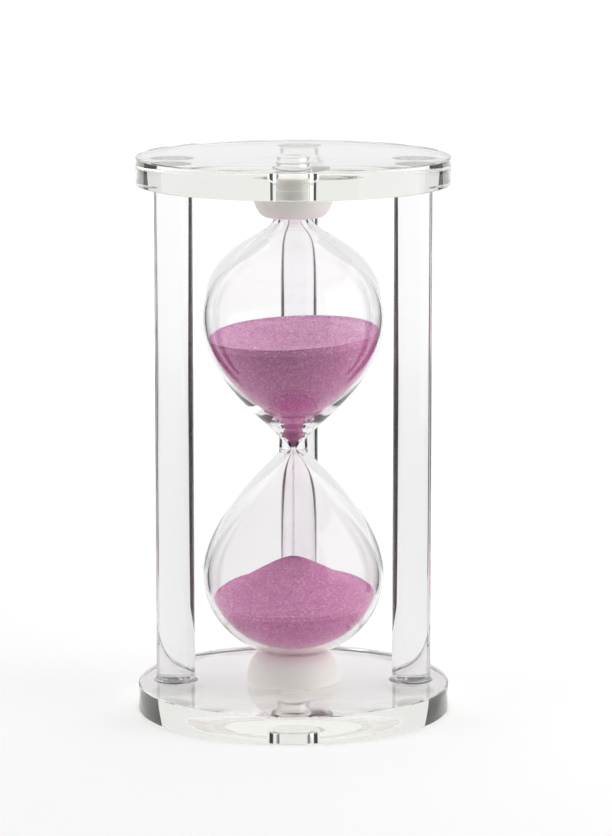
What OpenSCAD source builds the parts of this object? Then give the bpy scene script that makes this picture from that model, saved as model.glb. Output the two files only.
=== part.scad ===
/* [Frame] */
// Diameter of the top and base discs
disc_d = 90; // [86:1:110]
// Thickness of the plate glass
disc_t = 8; // [6:0.5:10]
// Bevel ground on the edges of the discs
disc_bevel = 0.3; // [0.2:0.1:1]
// Diameter of the blind hole in the middle of each disc
socket_d = 9.8; // [9:0.1:11]
// Depth of that hole
socket_depth = 5.6; // [4:0.1:6]
// Height of the whole timer
height = 161; // [161:0.5:165]
// Diameter of the three glass rods
rod_d = 11.2; // [8:0.1:12]
// Distance of each rod's axis from the middle
rod_offset = 34.2; // [33.5:0.1:36]
// How far the rear rod was glued to the right of the middle
rear_rod_shift = 1.6; // [0:0.1:2]

/* [Glue] */
// Thickness of the clear glue film under the end of a rod
glue_t = 0.3; // [0.2:0.05:0.6]
// Width of the glue bead that shows round a rod
glue_bead = 0.9; // [0.4:0.1:1.5]

/* [Vessel] */
// Outer radius of the upper bulb at its widest
upper_bulb_r = 26.45; // [25:0.05:27]
// Outer radius of the lower bulb at its widest
lower_bulb_r = 26.1; // [25:0.05:27]
// Height of the upper bulb's widest ring above the table
upper_bulb_z = 115; // [113:0.5:116]
// Height of the lower bulb's widest ring above the table
lower_bulb_z = 39.5; // [38:0.5:41]
// Outer radius of the neck
neck_r = 4.1; // [3.6:0.1:5]
// Radius of the hole in the neck
orifice_r = 0.65; // [0.5:0.05:0.8]
// Wall thickness of the bulbs
glass_wall = 1.5; // [1.2:0.1:1.8]
// Outer radius of the open throat at the top
stub_r = 5.5; // [5.3:0.1:6]
// Inner radius of that throat, through which the sand was filled in
throat_r = 3.8; // [3.4:0.1:4]

/* [Seats] */
// Outer radius of the lower seat at its widest
lower_seat_r = 13.5; // [12.5:0.1:14]
// Outer radius of the upper seat at its widest
upper_seat_r = 12.2; // [11.8:0.1:13]
// Length of each seat's peg
peg_length = 3; // [2:0.2:3.8]
// Clearance of each seat's peg in the wall of its hole
peg_gap = 0.3; // [0.2:0.05:0.4]

/* [Sand] */
// Mean height of the sand's surface in the upper bulb
upper_sand_z = 109; // [104:0.2:112]
// Sideways slope of that surface, rising to the right
upper_sand_tilt = 3; // [0:0.1:8]
// Slope of that surface from front to back, rising to the back
upper_sand_lean = 3; // [0:0.1:6]
// Height of the heap's tip in the lower bulb
heap_tip_z = 44; // [38:0.5:48]
// Height at which the heap meets the glass
heap_rim_z = 32.4; // [26:0.2:34]
// Diameter of the falling stream of sand
stream_d = 0.9; // [0.6:0.1:1.1]
// Clearance of the sand's solids from the inside of the glass
sand_gap = 0.08; // [0.05:0.01:0.15]

/* [Hidden] */

$fn = 96;
curve_steps = 18;      // straight facets along each curve of an outline
clear_tint = [0.86, 0.93, 0.90, 0.35];
glass_tint = [0.90, 0.94, 0.95, 0.30];
glue_tint = [0.93, 0.95, 0.95, 0.5];
white_tint = [0.95, 0.94, 0.93];
sand_tint = [0.80, 0.45, 0.68];

under_top = height - disc_t;           // underside of the top disc
rod_bottom = disc_t + glue_t;
rod_top = under_top - glue_t;
left_rod_at = [-rod_offset, 0];
right_rod_at = [rod_offset, 0];
rear_rod_at = [rear_rod_shift, rod_offset];

peg_r = socket_d / 2 - peg_gap;
peg_chamfer = 0.6;

lower_seat_rim = 16.7;                 // height of the lower seat's rim
upper_seat_rim = 143.5;                // height of the upper seat's lip
lower_rim_r = 9.2;
upper_rim_r = 8.2;

neck_top = 79.3;                       // the neck is a short cylinder between these heights
neck_bottom = 75.5;
orifice_z = 76.5;
funnel = [3.2, 82.3];                  // where the upper bulb's bowl turns into the funnel of the neck
vessel_pole = 14;                      // lowest point of the glass, the end of its sealed tip
tip_edge = [8, 16.9];                  // where that tip grows out of the lower bulb
shoulder = [10.7, 138.4];              // where the upper bulb turns into the flare of the throat
inner_shoulder = [9.6, 137];
throat_start = 143.4;
throat_end = 149.2;

// a point on a cubic curve, and a whole curve without its first point
function bez(p, t) = pow(1 - t, 3) * p[0] + 3 * pow(1 - t, 2) * t * p[1]
                     + 3 * (1 - t) * t * t * p[2] + pow(t, 3) * p[3];
function curve(p, n = curve_steps) = [for (i = [1:n]) bez(p, i / n)];

// outside of the lower bulb below its widest ring, where it lies in its seat
bowl_line = concat(
    [[0, vessel_pole]],
    curve([[0, vessel_pole], [3, vessel_pole], [5, 16.4], tip_edge], 8),
    curve([tip_edge, [18.6, 19.3], [lower_bulb_r, lower_bulb_z - 10.4], [lower_bulb_r, lower_bulb_z]]));

// outline of the glass from its lowest point up to the end of the throat
outer_line = concat(
    bowl_line,
    curve([[lower_bulb_r, lower_bulb_z], [lower_bulb_r, lower_bulb_z + 17], [neck_r, neck_bottom - 1],
           [neck_r, neck_bottom]]),
    curve([[neck_r, neck_top], [neck_r, neck_top + 2.7], [upper_bulb_r, upper_bulb_z - 19.5],
           [upper_bulb_r, upper_bulb_z]]),
    curve([[upper_bulb_r, upper_bulb_z], [upper_bulb_r, upper_bulb_z + 14], [17, 135], shoulder], 14),
    curve([shoulder, [8, 140], [stub_r, 141.2], [stub_r, throat_start]], 8),
    [[stub_r, throat_end]]);

// the inside, from the throat down through the neck to the bottom of the lower bulb;
// "grow" moves it away from the glass for the sand that it holds
function inner_upper(grow = 0) =
    let (r = upper_bulb_r - glass_wall - grow, hole = orifice_r - grow / 2, bowl = funnel - [grow, 0])
    concat(
        curve([[hole, orifice_z], [hole + 0.2, orifice_z + 1.1], bowl - [0.3, 2.3], bowl], 8),
        curve([bowl, bowl + [0.2, 2], [r, upper_bulb_z - 20.8], [r, upper_bulb_z]]));
function inner_lower(grow = 0) =
    let (r = lower_bulb_r - glass_wall - grow, floor_z = vessel_pole + glass_wall + 0.5 + grow,
         edge = tip_edge + [-0.7, 1.5 + grow])
    concat(
        curve([[orifice_r - grow / 2, orifice_z], [orifice_r - grow / 2, orifice_z - 2],
               [r, lower_bulb_z + 20], [r, lower_bulb_z]]),
        curve([[r, lower_bulb_z], [r, lower_bulb_z - 10], [17.2, 20.6 + grow], edge]),
        curve([edge, edge - [2.4, 0.5], [2.6, floor_z], [0, floor_z]], 8));
function reverse(list) = [for (i = [len(list) - 1:-1:0]) list[i]];

inner_line = concat(
    [[throat_r, throat_end], [throat_r, throat_start - 0.9]],
    curve([[throat_r, throat_start - 0.9], [throat_r, 140.4], [6.5, 138.9], inner_shoulder], 8),
    curve([inner_shoulder, [16, 133.6], [upper_bulb_r - glass_wall, upper_bulb_z + 12.9],
           [upper_bulb_r - glass_wall, upper_bulb_z]], 14),
    reverse(inner_upper()),
    [[orifice_r, orifice_z]],
    inner_lower());

// disc with its blind hole opening upwards
module plate() {
    r = disc_d / 2;
    rotate_extrude()
        polygon([[0, 0], [r - disc_bevel, 0], [r, disc_bevel], [r, disc_t - disc_bevel],
                 [r - disc_bevel, disc_t], [socket_d / 2, disc_t], [socket_d / 2, disc_t - socket_depth],
                 [0, disc_t - socket_depth]]);
}

module base_disc() {
    color(clear_tint) plate();
}

module top_disc() {
    color(clear_tint)
        translate([0, 0, height])
            mirror([0, 0, 1])
                plate();
}

module rod(at) {
    color(clear_tint)
        translate([at[0], at[1], rod_bottom])
            cylinder(d = rod_d, h = rod_top - rod_bottom);
}

// film under the end of a rod with a bead squeezed out round it; side is 1 on the base, -1 under the top
module rod_glue(at, z, side) {
    r = rod_d / 2;
    film = glue_t * side;
    color(glue_tint)
        translate([at[0], at[1], z])
            rotate_extrude()
                polygon([[0, 0], [r + glue_bead, 0], [r + glue_bead * 0.75, film * 1.6],
                         [r + glue_bead * 0.3, film * 3], [r, film * 3.6], [r, film], [0, film]]);
}

// a seat's peg and flat face, out to where its flank starts; face is the height of the flat face,
// and side is 1 above the base and -1 under the top
function seat_foot(r, face, side) = [
    [0, face - side * peg_length], [peg_r - peg_chamfer, face - side * peg_length],
    [peg_r, face - side * (peg_length - peg_chamfer)], [peg_r, face],
    [r - 0.5, face], [r, face + side * 0.6]];

module lower_seat() {
    color(white_tint)
        rotate_extrude()
            difference() {
                polygon(concat(
                    seat_foot(lower_seat_r, disc_t, 1),
                    curve([[lower_seat_r, disc_t + 0.6], [lower_seat_r, 12.6], [lower_rim_r + 2.8, 15.4],
                           [lower_rim_r, lower_seat_rim]], 12),
                    [[0, lower_seat_rim]]));
                // bowl in which the bottom of the glass lies
                polygon(concat(bowl_line, [[0, lower_bulb_z]]));
            }
}

module upper_seat() {
    pocket_top = throat_end + 1.2;
    color(white_tint)
        rotate_extrude()
            polygon(concat(
                seat_foot(upper_seat_r, under_top, -1),
                curve([[upper_seat_r, under_top - 0.6], [upper_seat_r - 0.3, 149.4], [upper_rim_r + 2.6, 144.4],
                       [upper_rim_r, upper_seat_rim]], 12),
                [[stub_r, upper_seat_rim], [stub_r, pocket_top], [0, pocket_top]]));
}

module glass_vessel() {
    color(glass_tint)
        rotate_extrude()
            polygon(concat(outer_line, inner_line));
}

// plug in the throat, with a head that lies on its end
module fill_stopper() {
    color(white_tint)
        rotate_extrude()
            polygon([[0, throat_end - 5], [throat_r - 0.5, throat_end - 5], [throat_r, throat_end - 4.5],
                     [throat_r, throat_end], [stub_r - 0.3, throat_end], [stub_r - 0.3, throat_end + 1],
                     [0, throat_end + 1]]);
}

module upper_sand() {
    tip_z = orifice_z + 1;
    crater_r = 30;
    color(sand_tint)
        difference() {
            rotate_extrude()
                intersection() {
                    polygon(concat([[0, orifice_z], [orifice_r, orifice_z]], inner_upper(sand_gap),
                                   [[0, upper_bulb_z]]));
                    translate([0, tip_z])
                        square([upper_bulb_r, upper_bulb_z - tip_z]);
                }
            translate([0, 0, upper_sand_z])
                rotate([upper_sand_lean, -upper_sand_tilt, 0])
                    translate([-40, -40, 0])
                        cube([80, 80, 30]);
            // shallow dip where the sand runs away down the middle
            translate([0, 0, upper_sand_z + crater_r - 2.2])
                sphere(r = crater_r);
        }
}

module sand_stream() {
    tip_z = orifice_z + 1;
    color(sand_tint)
        translate([0, 0, heap_tip_z])
            cylinder(d = stream_d, h = tip_z - heap_tip_z);
}

module lower_sand() {
    heap_line = concat([[0, heap_tip_z], [stream_d / 2, heap_tip_z]],
                       curve([[stream_d / 2, heap_tip_z], [3.5, heap_tip_z - 0.4], [14, heap_rim_z + 1.6],
                              [lower_bulb_r, heap_rim_z - 0.6]], 12));
    color(sand_tint)
        rotate_extrude()
            intersection() {
                polygon(concat([[0, orifice_z], [orifice_r - sand_gap / 2, orifice_z]],
                               inner_lower(sand_gap)));
                polygon(concat(heap_line, [[lower_bulb_r, 0], [0, 0]]));
            }
}

base_disc();
top_disc();
rod(left_rod_at);  // left_rod
rod(right_rod_at);  // right_rod
rod(rear_rod_at);  // rear_rod
rod_glue(left_rod_at, disc_t, 1);  // left_rod_lower_glue
rod_glue(left_rod_at, under_top, -1);  // left_rod_upper_glue
rod_glue(right_rod_at, disc_t, 1);  // right_rod_lower_glue
rod_glue(right_rod_at, under_top, -1);  // right_rod_upper_glue
rod_glue(rear_rod_at, disc_t, 1);  // rear_rod_lower_glue
rod_glue(rear_rod_at, under_top, -1);  // rear_rod_upper_glue
lower_seat();
upper_seat();
glass_vessel();
fill_stopper();
upper_sand();
sand_stream();
lower_sand();
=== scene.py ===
import math
import bpy
import numpy as np
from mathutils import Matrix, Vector
from mathutils.geometry import delaunay_2d_cdt


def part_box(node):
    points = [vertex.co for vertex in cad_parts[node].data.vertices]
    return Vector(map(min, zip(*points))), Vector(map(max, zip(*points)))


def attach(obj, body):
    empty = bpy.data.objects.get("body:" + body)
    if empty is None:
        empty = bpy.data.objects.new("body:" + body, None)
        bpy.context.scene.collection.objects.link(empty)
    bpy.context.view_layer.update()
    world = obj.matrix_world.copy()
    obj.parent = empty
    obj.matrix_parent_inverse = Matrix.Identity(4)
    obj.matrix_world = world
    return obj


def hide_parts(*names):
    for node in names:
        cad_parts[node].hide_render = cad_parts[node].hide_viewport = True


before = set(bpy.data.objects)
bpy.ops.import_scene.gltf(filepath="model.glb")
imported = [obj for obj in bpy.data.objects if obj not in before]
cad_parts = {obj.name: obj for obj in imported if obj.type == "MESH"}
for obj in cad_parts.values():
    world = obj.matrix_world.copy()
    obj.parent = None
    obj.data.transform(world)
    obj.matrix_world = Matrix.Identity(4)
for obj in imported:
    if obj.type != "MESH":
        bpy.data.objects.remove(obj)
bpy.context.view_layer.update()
mm = 0.001
scene = bpy.context.scene
rng = np.random.default_rng(11)        # every random draw in the file comes from here
print("frame loaded:", len(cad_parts), "nodes")

cameraSetup = {
    "place": (3.64 * mm, -1116.9 * mm, 279.5 * mm),
    "pitchDown": 9.87,        # degrees below the horizon
    "lens": 169.7,
}
cameraData = bpy.data.cameras.new("mainCamera")
cameraData.lens = cameraSetup["lens"]
cameraData.sensor_width = 36
camera = bpy.data.objects.new("mainCamera", cameraData)
camera.location = cameraSetup["place"]
camera.rotation_euler = (math.radians(90 - cameraSetup["pitchDown"]), 0, 0)
scene.collection.objects.link(camera)
scene.camera = camera
print("camera placed")


def line(a, b, steps):
    # straight run from a to b: a + (b - a) t
    t = np.linspace(0, 1, steps + 1)[:, None]
    return np.array(a, float) + (np.array(b, float) - np.array(a, float)) * t


def cubic(p0, p1, p2, p3, steps):
    # cubic Bezier: the four points weighted by (1-t)^3, 3(1-t)^2 t, 3(1-t)t^2 and t^3
    t = np.linspace(0, 1, steps + 1)[:, None]
    p0, p1, p2, p3 = (np.array(p, float) for p in (p0, p1, p2, p3))
    return (1 - t) ** 3 * p0 + 3 * (1 - t) ** 2 * t * p1 + 3 * (1 - t) * t * t * p2 + t ** 3 * p3


def roundCorner(corner, before, after, radius, steps=5):
    # quarter-round between two runs: a quadratic blend of the two points a radius away and the corner
    corner, before, after = (np.array(p, float) for p in (corner, before, after))
    a = corner + (before - corner) / np.linalg.norm(before - corner) * radius
    b = corner + (after - corner) / np.linalg.norm(after - corner) * radius
    t = np.linspace(0, 1, steps + 1)[:, None]
    return (1 - t) ** 2 * a + 2 * (1 - t) * t * corner + t * t * b


def roundedOutline(points, radii):
    # a run of straight lines whose corners are rounded, each with its own radius (0 leaves it sharp)
    runs = [np.array([points[0]], float)]
    for i in range(1, len(points) - 1):
        if radii[i] > 0:
            runs.append(roundCorner(points[i], points[i - 1], points[i + 1], radii[i]))
        else:
            runs.append(np.array([points[i]], float))
    runs.append(np.array([points[-1]], float))
    return np.vstack(runs)


def joinRuns(*runs):
    # one outline from several, without the points that repeat where they meet
    points = np.vstack(runs)
    keep = np.r_[True, np.linalg.norm(np.diff(points, axis=0), axis=1) > 1e-6]
    return points[keep]


def meshFrom(name, vertices, faces, slots=None):
    mesh = bpy.data.meshes.new(name)
    mesh.from_pydata(vertices.tolist(), [], faces)
    if slots is not None:
        mesh.polygons.foreach_set("material_index", np.asarray(slots, np.int32))
    mesh.update()
    return mesh


def signedVolume(vertices, faces):
    # sum over the triangle fans of a . (b x c) / 6; positive when the faces point outwards
    total = 0.0
    for size in {len(f) for f in faces}:
        idx = np.array([f for f in faces if len(f) == size])
        a = vertices[idx[:, 0]]
        for k in range(1, size - 1):
            total += np.einsum("ij,ij->", a, np.cross(vertices[idx[:, k]], vertices[idx[:, k + 1]]))
    return total / 6


def finishPiece(name, vertices, faces, materials, body, replaces=(), slots=None, sharp=32):
    # puts a closed surface into the scene, outward and smooth with sharp edges, riding on its body
    vertices = np.asarray(vertices, float)
    if signedVolume(vertices, faces) < 0:
        faces = [tuple(reversed(f)) for f in faces]
    mesh = meshFrom(name, vertices, faces, slots)
    mesh.shade_smooth()
    if sharp:
        mesh.set_sharp_from_angle(angle=math.radians(sharp))
    for material in materials:
        mesh.materials.append(material)
    piece = bpy.data.objects.new(name, mesh)
    scene.collection.objects.link(piece)
    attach(piece, body)
    if replaces:
        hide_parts(*replaces)
    return piece


def revolve(outline, segments, centre=(0, 0), push=None):
    # surface of revolution: (r, z) carried round the axis, x = r cos a, y = r sin a.
    # push(angle, z) may return an amount added to r. Points with r = 0 become one pole vertex
    outline = np.asarray(outline, float)
    angles = np.arange(segments) * 2 * math.pi / segments
    vertices, rings = [], []
    count = 0
    for r, z in outline:
        if r < 1e-9:
            vertices.append(np.array([[centre[0], centre[1], z]]))
            rings.append((count, 1))
            count += 1
        else:
            radius = np.full(segments, r) + (push(angles, z) if push else 0)
            vertices.append(np.c_[centre[0] + radius * np.cos(angles), centre[1] + radius * np.sin(angles),
                                  np.full(segments, z)])
            rings.append((count, segments))
            count += segments
    return np.vstack(vertices), rings


def bridge(rings, slots=None):
    # quads between neighbouring rings, triangles where a ring is a pole. slots names each band's material
    faces, marks = [], []
    for band, ((a, na), (b, nb)) in enumerate(zip(rings[:-1], rings[1:])):
        n = max(na, nb)
        i = np.arange(n)
        j = (i + 1) % n
        if na == 1:
            quads = np.c_[np.full(n, a), b + i, b + j]
        elif nb == 1:
            quads = np.c_[a + i, np.full(n, b), a + j]
        else:
            quads = np.c_[a + i, b + i, b + j, a + j]
        faces += [tuple(q) for q in quads.tolist()]
        marks += [slots[band] if slots else 0] * n
    return faces, marks


def newGroup(name, inputs, outputs):
    group = bpy.data.node_groups.new(name, "ShaderNodeTree")
    for label, kind, value in inputs:
        socket = group.interface.new_socket(name=label, in_out="INPUT", socket_type=kind)
        socket.default_value = value
    for label, kind in outputs:
        group.interface.new_socket(name=label, in_out="OUTPUT", socket_type=kind)
    return group, group.nodes.new("NodeGroupInput"), group.nodes.new("NodeGroupOutput")


def mathNode(tree, operation, a, b=None, clamp=False):
    node = tree.nodes.new("ShaderNodeMath")
    node.operation = operation
    node.use_clamp = clamp
    for socket, value in zip(node.inputs, (a, b)):
        if value is None:
            continue
        if hasattr(value, "is_output"):
            tree.links.new(value, socket)
        else:
            socket.default_value = value
    return node.outputs[0]


def makeSmudgeGroup():
    # soft patches of handling marks: two noises of different size multiplied, stretched to 0..1
    group, gin, gout = newGroup(
        "handlingMarks",
        [("Scale", "NodeSocketFloat", 60.0), ("Least", "NodeSocketFloat", 0.0),
         ("Most", "NodeSocketFloat", 0.03)],
        [("Roughness", "NodeSocketFloat"), ("Height", "NodeSocketFloat")])
    place = group.nodes.new("ShaderNodeTexCoord")
    broad = group.nodes.new("ShaderNodeTexNoise")
    broad.inputs["Detail"].default_value = 3
    group.links.new(place.outputs["Object"], broad.inputs["Vector"])
    group.links.new(gin.outputs["Scale"], broad.inputs["Scale"])
    fine = group.nodes.new("ShaderNodeTexNoise")
    fine.inputs["Detail"].default_value = 5
    group.links.new(place.outputs["Object"], fine.inputs["Vector"])
    group.links.new(mathNode(group, "MULTIPLY", gin.outputs["Scale"], 9.0), fine.inputs["Scale"])
    both = mathNode(group, "MULTIPLY", broad.outputs["Fac"], fine.outputs["Fac"])
    spread = group.nodes.new("ShaderNodeMapRange")
    spread.inputs["From Min"].default_value = 0.16
    spread.inputs["From Max"].default_value = 0.42
    group.links.new(both, spread.inputs["Value"])
    group.links.new(gin.outputs["Least"], spread.inputs["To Min"])
    group.links.new(gin.outputs["Most"], spread.inputs["To Max"])
    group.links.new(spread.outputs["Result"], gout.inputs["Roughness"])
    group.links.new(broad.outputs["Fac"], gout.inputs["Height"])
    return group


smudgeGroup = makeSmudgeGroup()


def glassMaterial(name, colour, ior, absorb=None, density=0.0, wave=0.0, waveScale=60.0, rough=(0.0, 0.02)):
    # clear glass: faint handling marks in its roughness, slow waves in its surface, tint in its depth
    material = bpy.data.materials.new(name)
    material.use_nodes = True
    tree = material.node_tree
    shader = tree.nodes["Principled BSDF"]
    shader.inputs["Base Color"].default_value = (*colour, 1)
    shader.inputs["IOR"].default_value = ior
    shader.inputs["Transmission Weight"].default_value = 1
    shader.inputs["Metallic"].default_value = 0
    marks = tree.nodes.new("ShaderNodeGroup")
    marks.node_tree = smudgeGroup
    marks.inputs["Scale"].default_value = waveScale
    marks.inputs["Least"].default_value = rough[0]
    marks.inputs["Most"].default_value = rough[1]
    tree.links.new(marks.outputs["Roughness"], shader.inputs["Roughness"])
    if wave:
        bump = tree.nodes.new("ShaderNodeBump")
        bump.inputs["Strength"].default_value = 1
        bump.inputs["Distance"].default_value = wave
        tree.links.new(marks.outputs["Height"], bump.inputs["Height"])
        tree.links.new(bump.outputs["Normal"], shader.inputs["Normal"])
    if density:
        volume = tree.nodes.new("ShaderNodeVolumeAbsorption")
        volume.inputs["Color"].default_value = (*absorb, 1)
        volume.inputs["Density"].default_value = density
        tree.links.new(volume.outputs["Volume"], tree.nodes["Material Output"].inputs["Volume"])
    return material


def bondedMaterial():
    # faces where glue joins two pieces: most light goes straight on, a little is caught by the milky glue
    material = bpy.data.materials.new("bondedFace")
    material.use_nodes = True
    shader = material.node_tree.nodes["Principled BSDF"]
    shader.inputs["Base Color"].default_value = (0.93, 0.94, 0.93, 1)
    shader.inputs["Roughness"].default_value = 0.7
    shader.inputs["Alpha"].default_value = 0.16
    shader.inputs["Specular IOR Level"].default_value = 0
    return material


plateGlass = glassMaterial("plateGlass", (0.992, 0.992, 0.99), 1.52,
                           (0.88, 0.92, 0.76), 3.2, rough=(0.0, 0.012))
rodGlass = glassMaterial("rodGlass", (0.935, 0.935, 0.942), 1.5,
                         wave=0.00001, waveScale=40.0, rough=(0.0, 0.01))
blownGlass = glassMaterial("blownGlass", (0.982, 0.983, 0.983), 1.47,
                           wave=0.00002, waveScale=45.0, rough=(0.0, 0.006))
clearGlue = glassMaterial("clearGlue", (0.98, 0.99, 0.98), 1.5,
                          wave=0.00004, waveScale=400.0, rough=(0.0, 0.08))
bondedFace = bondedMaterial()


def sandMaterial(name, shade):
    # dyed grains: each cell of a Voronoi pattern is one grain with its own colour; a few are pale quartz
    material = bpy.data.materials.new(name)
    material.use_nodes = True
    tree = material.node_tree
    shader = tree.nodes["Principled BSDF"]
    place = tree.nodes.new("ShaderNodeTexCoord")
    grains = tree.nodes.new("ShaderNodeTexVoronoi")
    grains.inputs["Scale"].default_value = 1 / (0.30 * mm)
    tree.links.new(place.outputs["Object"], grains.inputs["Vector"])
    pick = tree.nodes.new("ShaderNodeSeparateColor")
    tree.links.new(grains.outputs["Color"], pick.inputs["Color"])
    ramp = tree.nodes.new("ShaderNodeValToRGB")
    stops = ((0.0, (0.66, 0.19, 0.43)), (0.45, (0.80, 0.29, 0.56)), (0.86, (0.88, 0.38, 0.65)),
             (1.0, (0.98, 0.72, 0.88)))
    for position, colour in stops[1:-1]:
        ramp.color_ramp.elements.new(position)
    for element, (position, colour) in zip(ramp.color_ramp.elements, stops):
        element.position = position
        # shade scales every grain colour of this copy lighter or darker: painted light and shade
        element.color = (*(min(c * k, 1) for c, k in zip(colour, shade)), 1)
    tree.links.new(pick.outputs["Red"], ramp.inputs["Fac"])
    tree.links.new(ramp.outputs["Color"], shader.inputs["Base Color"])
    shader.inputs["Roughness"].default_value = 0.8
    shader.inputs["Specular IOR Level"].default_value = 0.08
    bump = tree.nodes.new("ShaderNodeBump")
    bump.inputs["Strength"].default_value = 0.6
    bump.inputs["Distance"].default_value = 0.12 * mm
    bump.invert = True
    tree.links.new(grains.outputs["Distance"], bump.inputs["Height"])
    tree.links.new(bump.outputs["Normal"], shader.inputs["Normal"])
    return material


def siliconeMaterial(name, colour):
    material = bpy.data.materials.new(name)
    material.use_nodes = True
    tree = material.node_tree
    shader = tree.nodes["Principled BSDF"]
    marks = tree.nodes.new("ShaderNodeGroup")
    marks.node_tree = smudgeGroup
    marks.inputs["Scale"].default_value = 220.0
    marks.inputs["Least"].default_value = 0.42
    marks.inputs["Most"].default_value = 0.66
    tree.links.new(marks.outputs["Roughness"], shader.inputs["Roughness"])
    tint = tree.nodes.new("ShaderNodeMix")
    tint.data_type = "RGBA"
    tint.inputs["A"].default_value = (*colour, 1)
    tint.inputs["B"].default_value = (colour[0] * 0.93, colour[1] * 0.90, colour[2] * 0.87, 1)
    tree.links.new(marks.outputs["Height"], tint.inputs["Factor"])
    tree.links.new(tint.outputs["Result"], shader.inputs["Base Color"])
    shader.inputs["Subsurface Weight"].default_value = 0.25
    shader.inputs["Subsurface Radius"].default_value = (1, 0.8, 0.7)
    shader.inputs["Subsurface Scale"].default_value = 1.2 * mm
    shader.inputs["Emission Color"].default_value = (1, 0.96, 0.92, 1)
    shader.inputs["Emission Strength"].default_value = 0.14        # painted light: a weak glow that makes the silicone brighter, though it is no lamp
    bump = tree.nodes.new("ShaderNodeBump")
    bump.inputs["Strength"].default_value = 0.3
    bump.inputs["Distance"].default_value = 0.05 * mm
    tree.links.new(marks.outputs["Height"], bump.inputs["Height"])
    tree.links.new(bump.outputs["Normal"], shader.inputs["Normal"])
    return material


# one sand in three copies with painted light and shade: lighter where the hollow in the upper bulb is open to
# the light, darker on the heap in its shade, darkest where grains are pressed against the glass and less
# light gets in
sandPaintedLit = sandMaterial("sandPaintedLit", (1.02, 1.2, 1.12))
sandPaintedHalfShade = sandMaterial("sandPaintedHalfShade", (0.93, 0.84, 0.92))
sandPaintedShaded = sandMaterial("sandPaintedShaded", (0.80, 0.62, 0.76))
whiteSilicone = siliconeMaterial("whiteSilicone", (0.91, 0.90, 0.87))
stopperRubber = siliconeMaterial("stopperRubber", (0.82, 0.80, 0.77))
print("materials made")

baseLow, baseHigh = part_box("base_disc")
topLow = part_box("top_disc")[0]
discRadius = (baseHigh[0] - baseLow[0]) / 2
discThickness = baseHigh[2] - baseLow[2]
rodNames = ("left_rod", "right_rod", "rear_rod")


def rodPlace(node):
    low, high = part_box(node)
    return (low[0] + high[0]) / 2, (low[1] + high[1]) / 2, (high[0] - low[0]) / 2, low[2], high[2]


glueBead = {
    "width": 0.9 * mm,        # how far the bead reaches out from the rod
    "height": 1.08 * mm,      # from the disc up the rod
    "film": 0.3 * mm,
    "uneven": 0.14 * mm,      # how much the squeezed-out edge wanders
    "segments": 128,
}


def beadEdge(node):
    # radius of the bead's foot round the rod: rod + width + a few slow waves of its own
    phase = rng.uniform(0, 2 * math.pi, 4)
    weight = rng.uniform(0.3, 1.0, 4)
    rodRadius = rodPlace(node)[2]

    def edge(angles):
        wave = sum(weight[k] * np.sin((k + 1) * angles + phase[k]) for k in range(4)) / 2.2
        return rodRadius + glueBead["width"] + glueBead["uneven"] * wave

    return edge


beadEdges = {(node, side): beadEdge(node) for node in rodNames for side in ("lower", "upper")}


def makeBead(node, side):
    # ring of glue: foot radius f(a) at the disc, a hollow fillet up to the rod, the film under its end
    x, y, rodRadius = rodPlace(node)[:3]
    disc = baseHigh[2] if side == "lower" else topLow[2]
    up = 1 if side == "lower" else -1
    n = glueBead["segments"]
    angles = np.arange(n) * 2 * math.pi / n
    foot = beadEdges[node, side](angles)
    steps = np.linspace(0, 1, 9)
    rings, marks, vertices, count = [], [], [], 0
    # hollow fillet: width falls as (1-s)^2 while height rises as s
    for s in steps:
        radius = rodRadius + (foot - rodRadius) * (1 - s) ** 2 * (1 + 0.6 * s)
        height = glueBead["height"] * s ** 1.15 * (1 + 0.10 * np.sin(2 * angles + 1.3))
        vertices.append(np.c_[x + radius * np.cos(angles), y + radius * np.sin(angles), disc + up * height])
        rings.append((count, n))
        count += n
    marks += [0] * (len(steps) - 1)
    vertices.append(np.c_[x + rodRadius * np.cos(angles), y + rodRadius * np.sin(angles),
                          np.full(n, disc + up * glueBead["film"])])
    rings.append((count, n))
    count += n
    marks.append(1)        # against the rod's side
    vertices.append(np.array([[x, y, disc + up * glueBead["film"]]]))
    rings.append((count, 1))
    count += 1
    marks.append(1)        # under the rod's end
    faces, slots = bridge(rings, slots=marks)
    vertices.append(np.array([[x, y, disc]]))
    under, underSlots = bridge([(count, 1), (0, n)], slots=[1])
    faces += under
    slots += underSlots
    return finishPiece(f"{node}_{side}_bead", np.vstack(vertices), faces, [clearGlue, bondedFace], "frame",
                       (f"{node}_{side}_glue",), slots, sharp=60)


for node in rodNames:
    for side in ("lower", "upper"):
        makeBead(node, side)
print("glue beads made")

rodLook = {"segments": 128, "ripple": 0.006 * mm}


def makeRod(node):
    # drawn glass rod: a cylinder with a faint ripple; where glue holds it, its faces are bonded
    x, y, radius, low, high = rodPlace(node)
    phase = rng.uniform(0, 2 * math.pi, 3)

    def ripple(angles, z):
        # faint out-of-round that turns slowly along the rod, none at the glued ends
        ends = np.clip(min(z - low, high - z) / (4 * mm), 0, 1)
        return rodLook["ripple"] * ends * (np.sin(2 * angles + phase[0] + 30 * z)
                                           + 0.6 * np.sin(3 * angles + phase[1] - 45 * z))

    glued = glueBead["height"] - glueBead["film"]        # the part of the rod's side inside the glue
    heights = np.r_[low, low + glued * 0.88, low + glued * 1.05,
                    np.linspace(low + 4 * mm, high - 4 * mm, 60),
                    high - glued * 1.05, high - glued * 0.88, high]
    outline = np.vstack([[0, low], np.c_[np.full(len(heights), radius), heights], [0, high]])
    vertices, rings = revolve(outline, rodLook["segments"], (x, y), ripple)
    bands = [0] * (len(rings) - 1)
    bands[0] = bands[1] = bands[-1] = bands[-2] = 1
    faces, slots = bridge(rings, slots=bands)
    return finishPiece(f"{node}_glass", vertices, faces, [rodGlass, bondedFace], "frame", (node,), slots,
                       sharp=50)


for node in rodNames:
    makeRod(node)
print("rods made")

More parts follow.
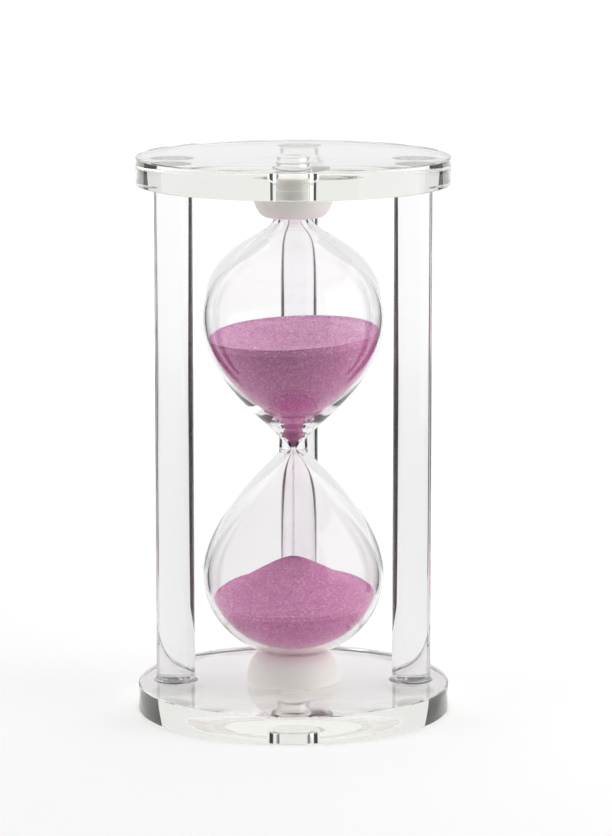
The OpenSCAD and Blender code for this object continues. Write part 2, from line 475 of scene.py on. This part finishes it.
discLook = {
    "segments": 320,
    "bevel": 0.3 * mm,
    "edgeRound": 0.08 * mm,      # softening where the bevel meets a face
    "holeRadius": 4.9 * mm,
    "holeDepth": 5.6 * mm,
    "holeRound": 0.35 * mm,      # the drill leaves the blind end's corner rounded
}


def makeDisc(node, side):
    # plate glass disc: a revolved rim and blind hole, and a flat face cut along the foot of each glue bead
    low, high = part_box(node)
    face = high[2] if side == "lower" else low[2]       # the face that the rods stand on
    back = low[2] if side == "lower" else high[2]
    up = 1 if side == "lower" else -1
    n = discLook["segments"]
    b, e = discLook["bevel"], discLook["edgeRound"]
    t = discThickness
    rim = roundedOutline([(0, 0), (discRadius - b, 0), (discRadius, b), (discRadius, t - b),
                          (discRadius - b, t)], [0, e, e, e, 0])
    rim[:, 1] = back + up * rim[:, 1]
    hr, hd = discLook["holeRadius"], discLook["holeDepth"]
    hole = roundedOutline([(hr, t), (hr, t - hd), (0, t - hd)], [0, discLook["holeRound"], 0])
    hole[:, 1] = back + up * hole[:, 1]
    rimVertices, rimRings = revolve(rim, n)
    rimFaces, _ = bridge(rimRings)
    holeVertices, holeRings = revolve(hole, n)
    holeFaces, _ = bridge([(a + len(rimVertices), m) for a, m in holeRings])
    vertices = np.vstack([rimVertices, holeVertices])
    faces = rimFaces + holeFaces
    slots = [0] * len(faces)
    # flat face between the rim and the hole, with one closed loop of edges per bead foot
    outer = np.arange(rimRings[-1][0], rimRings[-1][0] + n)
    inner = np.arange(n) + len(rimVertices)
    points = [vertices[outer, :2], vertices[inner, :2]]
    feet = []
    m = glueBead["segments"]
    angles = np.arange(m) * 2 * math.pi / m
    for rod in rodNames:
        x, y = rodPlace(rod)[:2]
        foot = beadEdges[rod, side](angles)
        points.append(np.c_[x + foot * np.cos(angles), y + foot * np.sin(angles)])
        feet.append((x, y))
    flat = np.vstack(points)
    edges, start = [], 0
    for run in points:
        size = len(run)
        edges += [(start + i, start + (i + 1) % size) for i in range(size)]
        start += size
    done = delaunay_2d_cdt([Vector(p) for p in flat], edges, [], 0, 1e-9)
    cdtPoints, cdtFaces = np.array([tuple(p) for p in done[0]]), done[2]
    nearest = np.argmin(((cdtPoints[:, None, :] - flat[None, :, :]) ** 2).sum(2), axis=1)
    indexOf = np.r_[outer, inner, len(vertices) + np.arange(3 * m)]
    vertices = np.vstack([vertices, np.c_[flat[2 * n:], np.full(3 * m, face)]])
    triangles = np.array(cdtFaces)
    middle = cdtPoints[triangles].mean(axis=1)
    distance = np.hypot(middle[:, 0], middle[:, 1])
    # the hole's own disc is left open
    keep = (distance > hr * 0.9999) & (distance < discRadius - b)
    for tri, centre in zip(triangles[keep], middle[keep]):
        p = cdtPoints[tri]
        area = (p[1, 0] - p[0, 0]) * (p[2, 1] - p[0, 1]) - (p[2, 0] - p[0, 0]) * (p[1, 1] - p[0, 1])
        corner = [int(indexOf[nearest[k]]) for k in tri]
        # clockwise from above, which agrees with the way the rim and the hole are wound on either disc
        faces.append(tuple(corner) if area < 0 else tuple(corner[::-1]))
        slots.append(0)
        for foot, rod in zip(feet, rodNames):
            dx, dy = centre[0] - foot[0], centre[1] - foot[1]
            if math.hypot(dx, dy) < beadEdges[rod, side](np.array([math.atan2(dy, dx)]))[0]:
                slots[-1] = 1
    return vertices, faces, slots


for node, side in (("base_disc", "lower"), ("top_disc", "upper")):
    vertices, faces, slots = makeDisc(node, side)
    finishPiece(f"{node}_glass", vertices, faces, [plateGlass, bondedFace], "frame", (node,), slots, sharp=28)
print("discs made")

vesselShape = {        # millimetres
    "pole": 14.0, "tipEdge": (8.0, 16.9),
    "lowerRadius": 26.1, "lowerZ": 39.5,
    "neckRadius": 4.1, "neckBottom": 75.5, "neckTop": 79.3,
    "upperRadius": 26.45, "upperZ": 115.0,
    "shoulder": (10.7, 138.4), "innerShoulder": (9.6, 137.0),
    "throatOuter": 5.5, "throatInner": 3.8, "throatStart": 143.4, "throatEnd": 149.2,
    "wall": 1.5, "floor": 2.0, "holeRadius": 0.65, "holeZ": 76.5, "funnel": (3.2, 82.3),
    "segments": 220,
}
vs = vesselShape


def outerBowl(steps=34):
    # sealed tip, then the bowl of the lower bulb up to its widest ring
    edge, r, z = vs["tipEdge"], vs["lowerRadius"], vs["lowerZ"]
    return joinRuns(cubic((0, vs["pole"]), (3, vs["pole"]), (5, 16.4), edge, 14),
                    cubic(edge, (18.6, 19.3), (r, z - 10.4), (r, z), steps))


def outerGlass(steps=36):
    # bowl, lower bulb to the neck, upper bulb, shoulder, flare and throat
    low, high, neck, throat = vs["lowerRadius"], vs["upperRadius"], vs["neckRadius"], vs["throatOuter"]
    lowZ, highZ = vs["lowerZ"], vs["upperZ"]
    return joinRuns(
        outerBowl(),
        cubic((low, lowZ), (low, lowZ + 17), (neck, vs["neckBottom"] - 1), (neck, vs["neckBottom"]), steps),
        cubic((neck, vs["neckTop"]), (neck, vs["neckTop"] + 2.7), (high, highZ - 19.5), (high, highZ), steps),
        cubic((high, highZ), (high, highZ + 14), (17, 135), vs["shoulder"], steps - 6),
        cubic(vs["shoulder"], (8, 140), (throat, 141.2), (throat, vs["throatStart"]), 16),
        line((throat, vs["throatStart"]), (throat, vs["throatEnd"]), 2))


def innerUpper(steps=44):
    # from the hole in the neck up the funnel and the bowl to the upper bulb's widest ring
    r, hole, z = vs["upperRadius"] - vs["wall"], vs["holeRadius"], vs["holeZ"]
    fr, fz = vs["funnel"]
    return joinRuns(cubic((hole, z), (hole + 0.2, z + 1.1), (fr - 0.3, fz - 2.3), (fr, fz), steps // 3),
                    cubic((fr, fz), (fr + 0.2, fz + 2), (r, vs["upperZ"] - 20.8), (r, vs["upperZ"]), steps))


def innerLower(steps=40):
    # from the hole in the neck down to the floor inside the sealed tip
    r, hole, z = vs["lowerRadius"] - vs["wall"], vs["holeRadius"], vs["lowerZ"]
    floorZ = vs["pole"] + vs["floor"]
    er, ez = vs["tipEdge"][0] - 0.7, vs["tipEdge"][1] + 1.5
    return joinRuns(
        cubic((hole, vs["holeZ"]), (hole, vs["holeZ"] - 2), (r, z + 20), (r, z), steps),
        cubic((r, z), (r, z - 10), (17.2, 20.6), (er, ez), steps - 8),
        cubic((er, ez), (er - 2.4, ez - 0.5), (2.6, floorZ), (0, floorZ), steps // 3))


def innerGlass():
    r, z = vs["upperRadius"] - vs["wall"], vs["upperZ"]
    throat, bend = vs["throatInner"], vs["throatStart"] - 0.9
    return joinRuns(
        line((throat, vs["throatEnd"]), (throat, bend), 2),
        cubic((throat, bend), (throat, 140.4), (6.5, 138.9), vs["innerShoulder"], 16),
        cubic(vs["innerShoulder"], (16, 133.6), (r, z + 12.9), (r, z), 30),
        innerUpper()[::-1],
        innerLower())


vesselOutline = np.vstack([outerGlass(), innerGlass()]) * mm
vertices, rings = revolve(vesselOutline, vs["segments"])
faces, slots = bridge(rings)
finishPiece("glass_vessel_blown", vertices, faces, [blownGlass], "vessel", ("glass_vessel",), slots, sharp=40)
print("vessel made")


seatLook = {
    "flutes": 132, "fluteDepth": 0.07 * mm, "segments": 660,
    "airGap": 0.04,           # mm between a seat and the glass that it touches
    "lowerRadius": 13.5, "upperRadius": 12.2, "pegRadius": 4.6, "pegLength": 3.0, "pegRound": 0.6,
    "lowerRim": (9.2, 16.7), "upperRim": (8.2, 143.5),
}


def fluteAmount(angles, z):
    # fine upright striations, stronger in some places than in others
    patch = (0.5 + 0.5 * np.sin(5 * angles + 1.0)) * (0.6 + 0.4 * np.sin(13 * angles))
    return -seatLook["fluteDepth"] * (0.5 + 0.5 * np.cos(seatLook["flutes"] * angles)) * (0.25 + 0.75 * patch)


def seatFoot(r, face, side):
    # peg with a rounded end, flat face, and the turn into the flank
    p, e = seatLook["pegRadius"], seatLook["pegRound"]
    tip = face - side * seatLook["pegLength"]
    foot = roundedOutline([(0, tip), (p, tip), (p, face), (r, face), (r, face + side * 2)], [0, e, 0, 0.5, 0])
    return joinRuns(foot[:-1], line((r, face + side * 0.5), (r, face + side * 0.6), 1))


def makeSeat(name, node, outline):
    vertices, rings = revolve(np.asarray(outline) * mm, seatLook["segments"], push=fluteAmount)
    faces, slots = bridge(rings)
    finishPiece(name, vertices, faces, [whiteSilicone], "vessel", (node,), slots, sharp=50)


gap = seatLook["airGap"]
faceLow = baseHigh[2] / mm + gap
r, (rr, rz) = seatLook["lowerRadius"], seatLook["lowerRim"]
bowl = outerBowl(60)
bowl = bowl[bowl[:, 1] < rz - gap][::-1] - [0, gap]
makeSeat("lower_seat_silicone", "lower_seat", joinRuns(
    seatFoot(r, faceLow, 1),
    cubic((r, faceLow + 0.6), (r, 12.6), (rr + 2.8, 15.4), (rr + 0.3, rz - 0.12), 18),
    cubic((rr + 0.3, rz - 0.12), (rr + 0.1, rz), (rr - 0.2, rz), (rr - 0.4, rz - 0.03), 4),
    bowl))
faceHigh = topLow[2] / mm - gap
r, (rr, rz) = seatLook["upperRadius"], seatLook["upperRim"]
pocket, pocketTop = vs["throatOuter"] + gap, vs["throatEnd"] + 1.2
makeSeat("upper_seat_silicone", "upper_seat", joinRuns(
    seatFoot(r, faceHigh, -1),
    cubic((r, faceHigh - 0.6), (r - 0.3, 149.4), (rr + 2.6, 144.4), (rr, rz), 18),
    line((rr, rz), (pocket + 0.4, rz), 2),
    [(pocket, rz + 0.4), (pocket, pocketTop), (0, pocketTop)]))

stopperLook = {"length": 5.0, "headRadius": 5.2, "headHeight": 1.0, "round": 0.5}
sl = stopperLook
end, throat = vs["throatEnd"] + gap, vs["throatInner"] - gap
stopperOutline = roundedOutline(
    [(0, end - sl["length"]), (throat, end - sl["length"]), (throat, end), (sl["headRadius"], end),
     (sl["headRadius"], end + sl["headHeight"]), (0, end + sl["headHeight"])],
    [0, sl["round"], 0, 0.2, 0.3, 0]) * mm
vertices, rings = revolve(stopperOutline, 96)
faces, slots = bridge(rings)
finishPiece("fill_stopper_rubber", vertices, faces, [stopperRubber], "vessel", ("fill_stopper",), slots,
            sharp=40)
print("seats and stopper made")

sandLook = {        # millimetres and slopes
    "gap": 0.10,                                     # air between the grains and the glass
    "upperMean": 109.2, "tiltRight": 0.050, "tiltBack": 0.052,
    "craterAt": (1.6, 1.0), "craterRadius": 17.0, "craterDepth": 6.0, "lipHeight": 0.45,
    "heapTip": 44.0, "heapSlope": 0.585, "heapRound": 3.6, "heapSlump": 0.004,
    "heapTilt": 0.03, "heapLean": 0.07,
    "edgeCurl": 0.5, "curlWidth": 0.7, "upperCurlAt": 23.6, "lowerCurlAt": 23.2, "grainJitter": 0.06,
    "segments": 420, "rings": 90, "upperSideRows": 110, "lowerSideRows": 80, "rimRows": 5,
}
innerUp = innerUpper(400)
innerLow = innerLower(400)


def innerRadius(z):
    # radius of the glass's inside at height z, in mm, by linear interpolation along the outline
    low = np.interp(z, innerLow[::-1, 1], innerLow[::-1, 0])
    high = np.interp(z, innerUp[:, 1], innerUp[:, 0])
    return np.where(z < vs["holeZ"], low, high) - sandLook["gap"]


def heapMesh(name, node, height, tipZ, sideRows, surface):
    # sand in a bulb: a top surface z = h(r, a) out to the glass, and a side that follows the glass
    segments, rings, rimRows = sandLook["segments"], sandLook["rings"], sandLook["rimRows"]
    a = np.arange(segments) * 2 * math.pi / segments
    # radius at which the surface meets the glass, found by going halfway to the answer again and again
    rim = np.full(segments, 22.0)
    for _ in range(40):
        rim = 0.5 * rim + 0.5 * innerRadius(height(rim, a))
    s = (np.arange(1, rings + 1) / rings)[:, None]
    r = s * rim[None, :]
    z = height(r, a[None, :])
    grain = rng.normal(0, sandLook["grainJitter"], z.shape)
    fade = np.clip((1 - s) * rings / 3, 0, 1)
    z = z + grain * np.clip(fade, 0.2, 1)
    rimZ = z[-1]
    t = (np.arange(1, sideRows + 1) / sideRows)[:, None]
    sideZ = rimZ[None, :] + (tipZ - rimZ[None, :]) * t ** 0.9
    sideR = innerRadius(sideZ) - np.abs(rng.normal(0, sandLook["grainJitter"], sideZ.shape))
    sideR = np.maximum(sideR, 0.15)

    def place(rr, zz):
        return np.stack([rr * np.cos(a), rr * np.sin(a), zz], axis=-1).reshape(-1, 3)

    middle = np.array([[0, 0, float(height(np.zeros(1), np.zeros(1))[0])]])
    vertices = np.vstack([middle, place(r, z), place(sideR, sideZ), [[0, 0, tipZ - 0.01]]]) * mm
    ringList = [(0, 1)] + [(1 + i * segments, segments) for i in range(rings + sideRows)]
    ringList.append((1 + (rings + sideRows) * segments, 1))
    # the top takes the given sand copy, the rim band the copy with painted half shade, the side against the
    # glass the copy with painted shade
    faces, slots = bridge(ringList, slots=[0] * rings + [1] * rimRows + [2] * (sideRows + 1 - rimRows))
    return finishPiece(name, vertices, faces, [surface, sandPaintedHalfShade, sandPaintedShaded], "vessel", (node,), slots,
                       sharp=0)


def upperSurface(r, a):
    # tilted plane, a cone-shaped crater with a soft lip, and a slight curl up against the glass
    x, y = r * np.cos(a), r * np.sin(a)
    plane = sandLook["upperMean"] + sandLook["tiltRight"] * x + sandLook["tiltBack"] * y
    q = np.hypot(x - sandLook["craterAt"][0], y - sandLook["craterAt"][1]) / sandLook["craterRadius"]
    dip = -sandLook["craterDepth"] * (np.sqrt(np.clip(1 - q, 0, 1) ** 2 + 0.0016) - 0.04) * (q < 1)
    lip = sandLook["lipHeight"] * np.exp(-((q - 1.03) / 0.07) ** 2)
    curl = sandLook["edgeCurl"] * np.exp(-(sandLook["upperCurlAt"] - r) / sandLook["curlWidth"])
    return plane + dip + lip + np.minimum(curl, 1)


def lowerSurface(r, a):
    # rounded cone: the drop grows as sqrt(r^2 + c^2) - c, less a little slumping towards the glass
    x, y = r * np.cos(a), r * np.sin(a)
    c = sandLook["heapRound"]
    slump = sandLook["heapSlump"] * np.clip(r - 14, 0, None) ** 2
    drop = sandLook["heapSlope"] * (np.sqrt(r * r + c * c) - c) - slump
    tilt = (sandLook["heapTilt"] * x + sandLook["heapLean"] * y) * r / 24
    curl = sandLook["edgeCurl"] * np.exp(-(sandLook["lowerCurlAt"] - r) / sandLook["curlWidth"])
    return sandLook["heapTip"] - drop + tilt + np.minimum(curl, 1)


heapMesh("upper_sand_grains", "upper_sand", upperSurface, vs["holeZ"] + 0.4,
         sandLook["upperSideRows"], sandPaintedLit)
heapMesh("lower_sand_grains", "lower_sand", lowerSurface, vs["pole"] + vs["floor"] + 0.15,
         sandLook["lowerSideRows"], sandPaintedHalfShade)
print("sand made")

streamLook = {"radius": 0.45 * mm, "grainSize": 0.07 * mm, "grains": 900}


def makeStream():
    # falling grains: small octahedra scattered round the axis, a little wider apart below than at the neck
    n = streamLook["grains"]
    top, tip = (vs["holeZ"] + 0.6) * mm, (sandLook["heapTip"] - 0.2) * mm
    fall = rng.random(n)
    z = top + (tip - top) * fall
    angle = rng.random(n) * 2 * math.pi
    spread = streamLook["radius"] * np.sqrt(rng.random(n)) * (0.75 + 0.25 * fall)
    centre = np.c_[spread * np.cos(angle), spread * np.sin(angle), z]
    size = streamLook["grainSize"] * rng.uniform(0.7, 1.25, n)
    corners = np.array([(1, 0, 0), (0, 1, 0), (-1, 0, 0), (0, -1, 0), (0, 0, 1), (0, 0, -1)], float)
    vertices = (centre[:, None, :] + size[:, None, None] * corners[None]).reshape(-1, 3)
    tri = np.array([(0, 1, 4), (1, 2, 4), (2, 3, 4), (3, 0, 4), (1, 0, 5), (2, 1, 5), (3, 2, 5), (0, 3, 5)])
    faces = (np.arange(n)[:, None, None] * 6 + tri[None]).reshape(-1, 3)
    return finishPiece("sand_stream_grains", vertices, [tuple(f) for f in faces.tolist()], [sandPaintedLit],
                       "vessel", ("sand_stream",), None, sharp=0)


makeStream()
print("stream made")

studio = {        # metres and degrees; glows are radiance, 1 being pure white
    "skySeen": 1.0, "skyMirrored": 0.85, "skyLight": 1.08,
    "floorHalf": 9, "floorZ": -0.0001, "floorWhite": 0.9, "floorGlow": 0.10, "floorSeen": 0.11,
    "darkCardX": 0.40, "darkCardLow": (0.105, 0.50), "darkCardHigh": (0.13, 0.18), "darkCardTop": 0.34,
    "darkFloorNear": (0.11, 0.022, 0.095), "darkGlow": 0.012,
    "frontY": -0.60, "frontHalfWidth": 0.80, "frontZ": (0.002, 1.1), "frontGlow": 0.06,
    "apronY": (-0.60, -0.17),
    "keyAngles": (45, 100), "keyDistance": 0.40, "keyZ": (0.02, 0.42), "keyGlow": 1.7,
}
rig = bpy.data.objects.new("turntableRig", None)
scene.collection.objects.link(rig)
follow = rig.constraints.new("LOCKED_TRACK")       # the set stays square to the camera as it goes round
follow.target = camera
follow.track_axis = "TRACK_NEGATIVE_Y"
follow.lock_axis = "LOCK_Z"


def glowMaterial(name, strength, seenBy="all"):
    # a card's own light; "matt" or "glass" limits it to paths that have, or have not,
    # touched a matt surface, and leaves the card's back clear
    material = bpy.data.materials.new(name)
    material.use_nodes = True
    tree = material.node_tree
    tree.nodes.clear()
    glow = tree.nodes.new("ShaderNodeEmission")
    glow.inputs["Strength"].default_value = strength
    out = tree.nodes.new("ShaderNodeOutputMaterial")
    tree.links.new(glow.outputs["Emission"], out.inputs["Surface"])
    if seenBy != "all":
        path = tree.nodes.new("ShaderNodeLightPath")
        choose = tree.nodes.new("ShaderNodeMixShader")
        clear = tree.nodes.new("ShaderNodeBsdfTransparent")
        test = "GREATER_THAN" if seenBy == "matt" else "LESS_THAN"
        back = tree.nodes.new("ShaderNodeNewGeometry").outputs["Backfacing"]
        seen = mathNode(tree, test, path.outputs["Diffuse Depth"], 0.5)
        tree.links.new(mathNode(tree, "SUBTRACT", seen, back, clamp=True), choose.inputs["Fac"])
        tree.links.new(clear.outputs["BSDF"], choose.inputs[1])
        tree.links.new(glow.outputs["Emission"], choose.inputs[2])
        tree.links.new(choose.outputs["Shader"], out.inputs["Surface"])
    material.cycles.emission_sampling = "NONE"
    return material


def standingCard(name, low, high, material):
    # upright card between a row of low corners and the row of high corners above them
    n = len(low)
    mesh = bpy.data.meshes.new(name)
    mesh.from_pydata(low + high, [], [(i, i + 1, n + i + 1, n + i) for i in range(n - 1)])
    mesh.materials.append(material)
    obj = bpy.data.objects.new(name, mesh)
    scene.collection.objects.link(obj)
    obj.parent = rig
    obj.visible_camera = False
    obj.visible_shadow = False
    return obj


def floorMaterial():
    material = bpy.data.materials.new("paleFloor")
    material.use_nodes = True
    tree = material.node_tree
    tree.nodes.clear()
    matte = tree.nodes.new("ShaderNodeBsdfDiffuse")
    matte.inputs["Color"].default_value = (*[studio["floorWhite"]] * 3, 1)
    glow = tree.nodes.new("ShaderNodeEmission")
    path = tree.nodes.new("ShaderNodeLightPath")
    extra = mathNode(tree, "MULTIPLY", path.outputs["Is Camera Ray"], studio["floorSeen"])
    tree.links.new(mathNode(tree, "ADD", extra, studio["floorGlow"]), glow.inputs["Strength"])
    both = tree.nodes.new("ShaderNodeAddShader")
    out = tree.nodes.new("ShaderNodeOutputMaterial")
    tree.links.new(matte.outputs["BSDF"], both.inputs[0])
    tree.links.new(glow.outputs["Emission"], both.inputs[1])
    tree.links.new(both.outputs["Shader"], out.inputs["Surface"])
    material.cycles.emission_sampling = "NONE"
    return material


floorMesh = bpy.data.meshes.new("paleFloor")
floorMesh.from_pydata([(x * studio["floorHalf"], y * studio["floorHalf"], studio["floorZ"])
                       for x, y in ((-1, -1), (1, -1), (1, 1), (-1, 1))], [], [(0, 1, 2, 3)])
floorMesh.materials.append(floorMaterial())
floorPiece = bpy.data.objects.new("paleFloor", floorMesh)
scene.collection.objects.link(floorPiece)

darkCard = glowMaterial("darkCard", studio["darkGlow"])
darkFloor = glowMaterial("darkFloor", studio["darkGlow"], "glass")
for side in (-1, 1):
    x = side * studio["darkCardX"]
    standingCard("darkCardLeft" if side < 0 else "darkCardRight",
                 [(x, y, 0) for y in studio["darkCardLow"]],
                 [(x, y, studio["darkCardTop"]) for y in studio["darkCardHigh"]], darkCard)
    nearX, *nearY = studio["darkFloorNear"]
    standingCard("darkFloorLeft" if side < 0 else "darkFloorRight",
                 [(side * nearX, y, 0.003) for y in nearY[::-side]],
                 [(x, y, 0.003) for y in studio["darkCardLow"][::-side]], darkFloor)
hw, fy = studio["frontHalfWidth"], studio["frontY"]
frontDark = glowMaterial("frontShade", studio["frontGlow"], "matt")
standingCard("frontShade", [(x, fy, studio["frontZ"][0]) for x in (hw, -hw)],
             [(x, fy, studio["frontZ"][1]) for x in (hw, -hw)], frontDark)
standingCard("frontApron", [(x, studio["apronY"][0], 0.002) for x in (-hw, hw)],
             [(x, studio["apronY"][1], 0.002) for x in (-hw, hw)], frontDark)
sweep = np.radians(np.linspace(*studio["keyAngles"], 9))
keyFeet = [(studio["keyDistance"] * math.sin(t), -studio["keyDistance"] * math.cos(t)) for t in sweep]
standingCard("keyBox", [(x, y, studio["keyZ"][0]) for x, y in keyFeet],
             [(x, y, studio["keyZ"][1]) for x, y in keyFeet], glowMaterial("keyBox", studio["keyGlow"]))


def makeSky():
    # three strengths of one white: behind the object, in glass, and as light on matt surfaces
    world = bpy.data.worlds.new("paleStudio")
    scene.world = world
    world.use_nodes = True
    tree = world.node_tree
    sky = tree.nodes["Background"]
    sky.inputs["Color"].default_value = (1, 1, 1, 1)
    path = tree.nodes.new("ShaderNodeLightPath")
    matt = mathNode(tree, "GREATER_THAN", path.outputs["Diffuse Depth"], 0.5)
    lit = mathNode(tree, "MULTIPLY", matt, studio["skyLight"] - studio["skyMirrored"])
    extra = studio["skySeen"] - studio["skyMirrored"]
    seen = mathNode(tree, "MULTIPLY", path.outputs["Is Camera Ray"], extra)
    total = mathNode(tree, "ADD", mathNode(tree, "ADD", lit, seen), studio["skyMirrored"])
    tree.links.new(total, sky.inputs["Strength"])
    world.cycles.sampling_method = "NONE"


makeSky()
scene.view_settings.view_transform = "Standard"
scene.view_settings.look = "None"
scene.cycles.max_bounces = 32
scene.cycles.transmission_bounces = 32
scene.cycles.glossy_bounces = 16
scene.cycles.diffuse_bounces = 4
scene.cycles.transparent_max_bounces = 48
scene.cycles.use_denoising = True
scene.cycles.blur_glossy = 0
print("studio set")
